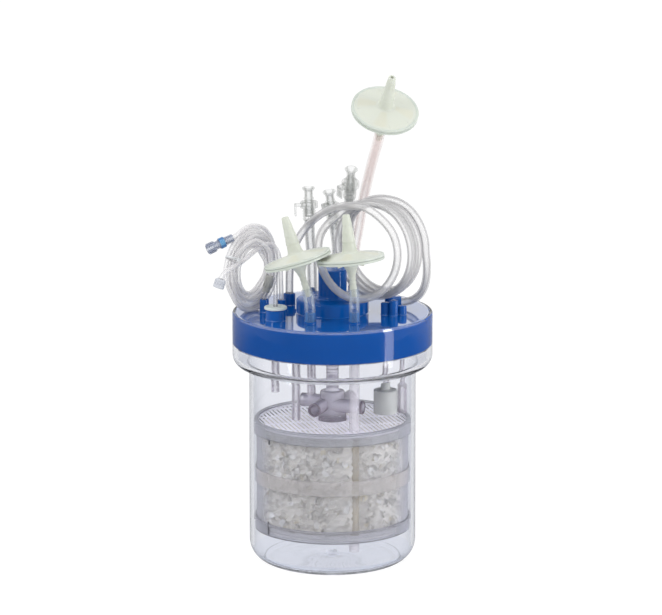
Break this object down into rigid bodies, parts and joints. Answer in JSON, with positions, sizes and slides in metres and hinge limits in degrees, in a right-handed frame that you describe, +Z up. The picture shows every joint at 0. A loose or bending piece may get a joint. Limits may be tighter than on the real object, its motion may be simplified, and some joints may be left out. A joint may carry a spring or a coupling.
{
  "type": "bench bioreactor",
  "caption": "Clear round vessel with a packed-bed basket and magnetic impeller inside, under a blue head plate that carries vent filters, quick couplings and coiled tubing.",
  "frame": {"origin": "centre of the vessel's base, on the bench", "axes": "+Z up along the vessel's axis; the front, with the two upright vent filters, faces -Y"},
  "size_m": [0.2249, 0.199, 0.4952],
  "materials": {
    "clear_shell": "clear polished",
    "plate_blue": "glossy moulded",
    "smoke_clear": "clear with a grey tint",
    "steel": "ground",
    "magnet_case": "dark moulded",
    "bush": "machined",
    "basket_clear": "clear with a grey tint",
    "fibre": "loose matted fibre discs",
    "dip_clear": "clear polished",
    "sinter": "frosted",
    "cap_white": "satin",
    "soft_tube": "clear soft tubing",
    "rose_tube": "pale rose soft tubing",
    "grey_connector": "satin",
    "filter_shell": "milky satin",
    "coupling_clear": "clear polished",
    "screw_clear": "clear with a blue tint",
    "tie": "translucent"
  },
  "bodies": {
    "reactor": {"vessel": "clear_shell", "head_plate": "plate_blue", "shaft_bearing": "bush", "basket_top_ring": "basket_clear", "basket_middle_ring": "basket_clear", "basket_bottom_ring": "basket_clear", "basket_wall": "basket_clear", "basket_top_screen": "basket_clear", "basket_bottom_screen": "basket_clear", "fibre_bed": "fibre", "feed_tube": "dip_clear", "sampling_tube": "dip_clear", "overlay_tube": "dip_clear", "return_tube": "dip_clear", "harvest_tube": "dip_clear", "filter_hanger": "dip_clear", "probe_sleeve": "dip_clear", "sample_filter": "sinter", "port_cap": "cap_white", "stem_tube": "cap_white", "riser_tube": "soft_tube", "tapered_connector": "grey_connector", "left_filter_top": "filter_shell", "left_filter_base": "filter_shell", "left_filter_tube": "soft_tube", "right_filter_top": "filter_shell", "right_filter_base": "filter_shell", "right_filter_tube": "soft_tube", "vent_filter_top": "filter_shell", "vent_filter_base": "filter_shell", "vent_filter_tube": "rose_tube", "fine_coil": "soft_tube", "fine_coil_tie": "tie", "fine_coil_lead": "soft_tube", "fine_coil_tail": "soft_tube", "luer_fitting": "screw_clear", "branch_line": "soft_tube", "branch_cap": "cap_white", "line_coil": "soft_tube", "line_coil_lead": "soft_tube", "line_coil_tail": "soft_tube", "coupling_1_body": "coupling_clear", "coupling_1_tube": "soft_tube", "coupling_2_body": "coupling_clear", "coupling_2_tube": "soft_tube", "coupling_3_body": "coupling_clear", "coupling_3_tube": "soft_tube"},
    "rotor": {"magnet_hub": "magnet_case", "drive_shaft": "steel", "shaft_coupling": "smoke_clear", "impeller": "smoke_clear", "draft_tube": "smoke_clear"},
    "latch_1": {"coupling_1_latch": "coupling_clear"},
    "plug_1": {"coupling_1_plug": "coupling_clear"},
    "latch_2": {"coupling_2_latch": "coupling_clear"},
    "plug_2": {"coupling_2_plug": "coupling_clear"},
    "latch_3": {"coupling_3_latch": "coupling_clear"},
    "plug_3": {"coupling_3_plug": "coupling_clear"}
  },
  "joints": [
    {"name": "impeller_spin", "type": "hinge", "parent": "reactor", "child": "rotor", "pos_m": [0, 0, 0.16], "axis": [0, 0, 1], "continuous": true},
    {"name": "latch_1_press", "type": "slide", "parent": "reactor", "child": "latch_1", "axis": [0.9996, 0, 0.03], "range_m": [0, 0.002], "stiffness_N_per_m": 400, "springref_m": -0.0005},
    {"name": "plug_1_swivel", "type": "hinge", "parent": "reactor", "child": "plug_1", "pos_m": [-0.023, 0.045, 0.337], "axis": [-0.03, 0, 0.9996], "continuous": true},
    {"name": "latch_2_press", "type": "slide", "parent": "reactor", "child": "latch_2", "axis": [0.5049, -0.8604, -0.0691], "range_m": [0, 0.002], "stiffness_N_per_m": 400, "springref_m": -0.0005},
    {"name": "plug_2_swivel", "type": "hinge", "parent": "reactor", "child": "plug_2", "pos_m": [0.0012, 0.055, 0.333], "axis": [-0.139, -0.16, 0.9773], "continuous": true},
    {"name": "latch_3_press", "type": "slide", "parent": "reactor", "child": "latch_3", "axis": [0.7707, 0.6112, 0.1801], "range_m": [0, 0.002], "stiffness_N_per_m": 400, "springref_m": -0.0005},
    {"name": "plug_3_swivel", "type": "hinge", "parent": "reactor", "child": "plug_3", "pos_m": [0.0171, 0.0542, 0.3582], "axis": [0.05, -0.3397, 0.9392], "continuous": true}
  ]
}
